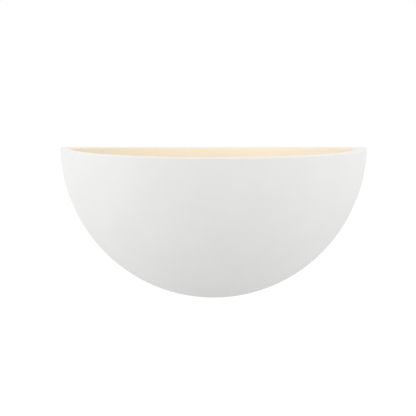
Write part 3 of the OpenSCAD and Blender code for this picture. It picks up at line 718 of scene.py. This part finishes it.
def make_holder_cap():
    """Lampholder's domed back, with the neck that its skirt screws on to."""
    bore, boss_r, insert_r, wiring_r = NIPPLE_R + 0.05, 8.0, 11.0, 9.8
    dome = [(HOLDER_R * math.sin(a), SKIRT_FROM - HOLDER_R * math.cos(a))
            for a in (math.radians(k) for k in range(36, 88, 4))]
    profile = [(bore, CAP_FROM + 0.4), (bore + 0.4, CAP_FROM), (boss_r - 0.6, CAP_FROM),
               (boss_r, CAP_FROM + 0.6), (boss_r, dome[0][1] - 0.3)] + dome
    profile += [(HOLDER_R, SKIRT_FROM - 0.25), (HOLDER_R - 0.25, SKIRT_FROM), (NECK_R, SKIRT_FROM),
                (NECK_R, NECK_END - 0.3), (NECK_R - 0.3, NECK_END), (insert_r, NECK_END),
                (insert_r, INSERT_FROM), (wiring_r, INSERT_FROM), (wiring_r, WIRING_FROM),
                (bore, WIRING_FROM)]
    verts, faces = turned(profile, steps=128)
    finish_mesh("holder_cap", "moulded", verts, faces, "holder_thermoplastic", "root")


def make_holder_skirt():
    """Lampholder's skirt, with round flutes between its gripping ribs."""
    bore, mouth_r, collar_to, step = NECK_R + 0.05, 9.7, SKIRT_FROM + 9, NECK_END + 0.5
    corners = [(bore, SKIRT_FROM + 3), (bore, SKIRT_FROM), (HOLDER_R, SKIRT_FROM), (HOLDER_R, collar_to),
               (HOLDER_R - 0.8, collar_to + 0.8), (HOLDER_R - 1.3, SKIRT_TO - 1), (HOLDER_R - 2.3, SKIRT_TO),
               (mouth_r, SKIRT_TO), (mouth_r, step), (bore, step)]
    profile = closed_fillet(corners, [0, 0.2, 0.5, 0.3, 0.4, 1.2, 0.9, 0.6, 0.2, 0.1], 4)
    flutes, flute_r, fade, ribbed_r = 30, 1.4, 0.5, HOLDER_R - 0.4
    flute_at, flute_from, flute_to = HOLDER_R + flute_r - 0.45, SKIRT_FROM + 1, SKIRT_FROM + 8.2

    def grip(r, s, angle):
        off = (angle + math.pi / flutes) % (2 * math.pi / flutes) - math.pi / flutes
        across = flute_at * math.sin(off)
        if r < ribbed_r or abs(across) > flute_r:
            return r
        share = clamped((s - flute_from) / fade, (flute_to - s) / fade)
        floor = flute_at * math.cos(off) - math.sqrt(flute_r ** 2 - across ** 2)
        return r - max(0.0, r - floor) * math.sqrt(share)

    verts, faces = turned(dense(profile, 0.4, beyond=ribbed_r), steps=flutes * 12, shape=grip)
    finish_mesh("holder_skirt", "ribbed", verts, faces, "holder_thermoplastic", "root")


def make_screw_shell():
    """Lampholder's screw shell, with the rolled thread that the lamp turns in."""
    floor, hole_r, outer_r = LAMP_SEAT - 1, 4.6, SHELL_R + SHELL_T
    profile = [(hole_r, floor), (outer_r - 0.2, floor), (outer_r, floor + 0.3), (outer_r, SHELL_TO - 0.25),
               (outer_r - 0.15, SHELL_TO), (SHELL_R + 0.12, SHELL_TO - 0.05)]
    profile += dense([(SHELL_R, SHELL_TO - 0.8), (SHELL_R, floor + SHELL_T)], LAMP_PITCH / 16)
    profile += [(hole_r, floor + SHELL_T)]
    shape = thread(LAMP_PITCH, 0.36, floor + 1.5, SHELL_TO - 0.6, 1.0, (hole_r + 0.4, SHELL_R + 0.05))
    verts, faces = turned(profile, shape=shape)
    finish_mesh("screw_shell", "rolled", verts, faces, "brass", "root")


def make_lamp_cap():
    """The lamp's rolled screw cap, flared where it holds the housing."""
    start, flare, t, inner_r = LAMP_CAP_FROM, LAMP_SEAT + 20, LAMP_CAP_T, LAMP_CAP_R - 0.75
    profile = [(0, start + t), (0, start), (5.4, start), (6.2, start + 0.55),
               (LAMP_CAP_R - 0.08, start + 1.1)]
    profile += dense([(LAMP_CAP_R, start + 1.5), (LAMP_CAP_R, flare)], LAMP_PITCH / 16)
    profile += [(LAMP_CAP_R + 0.15, flare + 0.4), (LAMP_CAP_FLARE - 0.4, flare + 1.6),
                (LAMP_CAP_FLARE, flare + 2.3), (LAMP_CAP_FLARE, LAMP_CAP_TO - 0.3),
                (LAMP_CAP_FLARE - 0.12, LAMP_CAP_TO), (LAMP_CAP_FLARE - t, LAMP_CAP_TO),
                (LAMP_CAP_FLARE - t, flare + 2.1), (inner_r, flare - 0.2), (inner_r, start + 1.6),
                (5.2, start + t)]
    shape = thread(LAMP_PITCH, 0.34, start + 1.6, flare - 0.1, 1.0, (LAMP_CAP_R - 0.02, LAMP_CAP_R + 0.02))
    verts, faces = turned(profile, shape=shape)
    finish_mesh("lamp_cap", "rolled", verts, faces, "nickel_plate", "lamp", sharp=50)


def make_lamp_contact():
    """The lamp's pip of solder, a little out of round."""
    pip_r, dome_t, end = 2.3, 0.75, LAMP_SEAT + 1.5
    profile = [(0, LAMP_SEAT)] + [(pip_r * math.sin(a), LAMP_SEAT + dome_t * (1 - math.cos(a)))
                                  for a in (math.radians(k) for k in range(10, 91, 10))]
    profile += [(pip_r, end - 0.1), (pip_r - 0.2, end), (0, end)]

    def uneven(r, s, angle):
        return r * (1 - 0.05 * max(0, math.sin(2 * angle + 1)) * (r / pip_r))

    verts, faces = turned(profile, steps=40, shape=uneven, closed=False)
    finish_mesh("lamp_contact", "soldered", verts, faces, "nickel_plate", "lamp_slide")


def make_lamp_insulator():
    """The glass between the lamp's cap and its contact."""
    start, end, tip_r, rim = LAMP_SEAT + 1.55, LAMP_CAP_FROM, 2.6, 5.4
    profile = fillet([(0, start), (tip_r, start), (rim, start + 2), (rim, end), (0, end)],
                     [0, 0.8, 0.9, 0, 0], 6)
    verts, faces = turned(profile, steps=64, closed=False)
    finish_mesh("lamp_insulator", "glass", verts, faces, "black_glass", "lamp")


def make_lamp_housing():
    """The lamp's moulded housing, with a fine groove under its lip."""
    def flank(inset, n=28):
        rise = [math.sin(math.pi / 2 * k / n) ** 2 for k in range(n + 1)]
        return [(HOUSING_FOOT_R + (HOUSING_R - HOUSING_FOOT_R) * w - inset,
                 HOUSING_FROM + (HOUSING_TO - HOUSING_FROM) * k / n) for k, w in enumerate(rise)]

    foot_bore, groove_r, top = 7.2, HOUSING_R - 0.25, HOUSING_END
    foot = [(foot_bore, HOUSING_FROM + HOUSING_T), (foot_bore, HOUSING_FROM),
            (HOUSING_FOOT_R - 0.3, HOUSING_FROM)]
    groove = [(HOUSING_R, top - 2.5), (groove_r, top - 2.3), (groove_r, top - 2.0), (HOUSING_R, top - 1.8)]
    lip = [(HOUSING_R, top - 0.3), (HOUSING_R - 0.25, top), (HOUSING_R - HOUSING_T, top)]
    inner = [(r, s + HOUSING_T) for r, s in reversed(flank(HOUSING_T)) if s + HOUSING_T < HOUSING_TO]
    verts, faces = turned(foot + flank(0)[1:] + groove + lip + inner, steps=144)
    finish_mesh("lamp_housing", "moulded", verts, faces, "lamp_housing_plastic", "lamp")


def make_lamp_globe():
    """The lamp's opal globe, a hollow ball on a spigot inside the housing's lip."""
    def arc(radius, foot, steps):
        end = math.acos((foot - GLOBE_CENTRE) / radius)
        return [(radius * math.sin(end * k / steps), GLOBE_CENTRE + radius * math.cos(end * k / steps))
                for k in range(steps + 1)]

    spigot_r, spigot_end = HOUSING_R - HOUSING_T - 0.02, HOUSING_TO + HOUSING_T
    profile = arc(GLOBE_R, HOUSING_END, 60)
    profile += [(HOUSING_R, HOUSING_END), (spigot_r, HOUSING_END), (spigot_r, spigot_end),
                (spigot_r - GLOBE_T, spigot_end), (spigot_r - GLOBE_T, HOUSING_END + GLOBE_T)]
    profile += reversed(arc(GLOBE_R - GLOBE_T, HOUSING_END + GLOBE_T, 40))
    verts, faces = turned(profile, steps=144, closed=False)
    return finish_mesh("lamp_globe", "opal", verts, faces, "opal_cover", "lamp")


def make_grommet():
    """Rubber grommet, which grips the edge of the bracket's hole between two flanges."""
    at, plate_from, plate_to, bulge = (-26, 17.5), 3, 5.0, 1.8
    bore, hole_r, flange = 4.0, 5.5, 7.4
    low, high = plate_from - bulge, plate_to + bulge
    profile = closed_fillet([(bore, 4), (bore, low), (flange, low), (flange, plate_from),
                             (hole_r, plate_from), (hole_r, plate_to), (flange, plate_to),
                             (flange - 1, high), (bore, high)],
                            [0, 0.7, 0.8, 0.3, 0.05, 0.05, 0.4, 0.9, 0.8], 5)
    verts, faces = turned(profile, at, 72)
    finish_mesh("cable_grommet", "moulded", verts, faces, "grommet_rubber", "root")


def make_wires():
    """The wires' insulation, round where the source has flat facets."""
    slots = {"wire_live": "insulation_brown", "wire_neutral": "insulation_blue",
             "wire_earth": "insulation_green_yellow"}
    for name, slot in slots.items():
        verts, faces, uvs = tube(ROUTES[name], WIRE_R - 0.04)
        finish_mesh(name, "insulated", verts, faces, slot, "root", sharp=50, uvs=uvs)


# ---- CAD nodes that stay, with their material and the bevel of their edges -----------

KEPT = {
    "bowl": ("plaster", 0),
    "wall_bracket": ("galvanised_steel", 0.25),
    "holder_bridge": ("zinc_plated_steel", 0.2),
    "bridge_screws": ("zinc_plated_steel", 0.12),
    "nipple_nut": ("zinc_plated_steel", 0.2),
    "lock_washer": ("zinc_plated_steel", 0.08),
    "holder_insert": ("insert_ceramic", 0.15),
    "holder_terminals": ("brass", 0.1),
    "centre_contact": ("spring_bronze", 0.05),
    "lamp_driver": ("driver_board", 0.1),
    "lamp_led_board": ("led_board", 0.05),
    "lamp_led_chips": ("led_phosphor", 0.1),
    "terminal_block": ("block_nylon", 0.25),
    "terminal_tubes": ("brass", 0.05),
    "terminal_screws": ("zinc_plated_steel", 0.1),
    "block_screw": ("zinc_plated_steel", 0.12),
    "earth_ring": ("tinned_copper", 0.08),
    "earth_washer": ("brass", 0.08),
    "earth_screw": ("brass", 0.15),
}


def dress_kept_nodes():
    """Gives each CAD node that stays its material and, where it has hard edges, a small bevel."""
    for name, (slot, edge) in KEPT.items():
        node = nodes[name]
        node.data.materials.clear()
        node.data.materials.append(materials[slot])
        if edge:
            weld = node.modifiers.new("weld", "WELD")
            weld.merge_threshold = 1e-6
            flat = node.modifiers.new("flat", "DECIMATE")
            flat.decimate_type = "DISSOLVE"
            flat.angle_limit = math.radians(0.5)
            bevel = node.modifiers.new("edges", "BEVEL")
            bevel.width = mm(edge)
            bevel.segments = 2
            bevel.limit_method = "ANGLE"
            bevel.angle_limit = math.radians(40)
            bevel.harden_normals = True


scene.view_settings.view_transform = "Standard"
make_camera()
make_world()
make_softboxes()
make_floor()
materials = make_materials()
dress_kept_nodes()
make_thumb_nuts()
make_washers()
make_studs()
make_nipple()
make_holder_cap()
make_holder_skirt()
make_screw_shell()
make_lamp_cap()
make_lamp_contact()
make_lamp_insulator()
make_lamp_housing()
light_lamp(make_lamp_globe())
make_grommet()
make_wires()
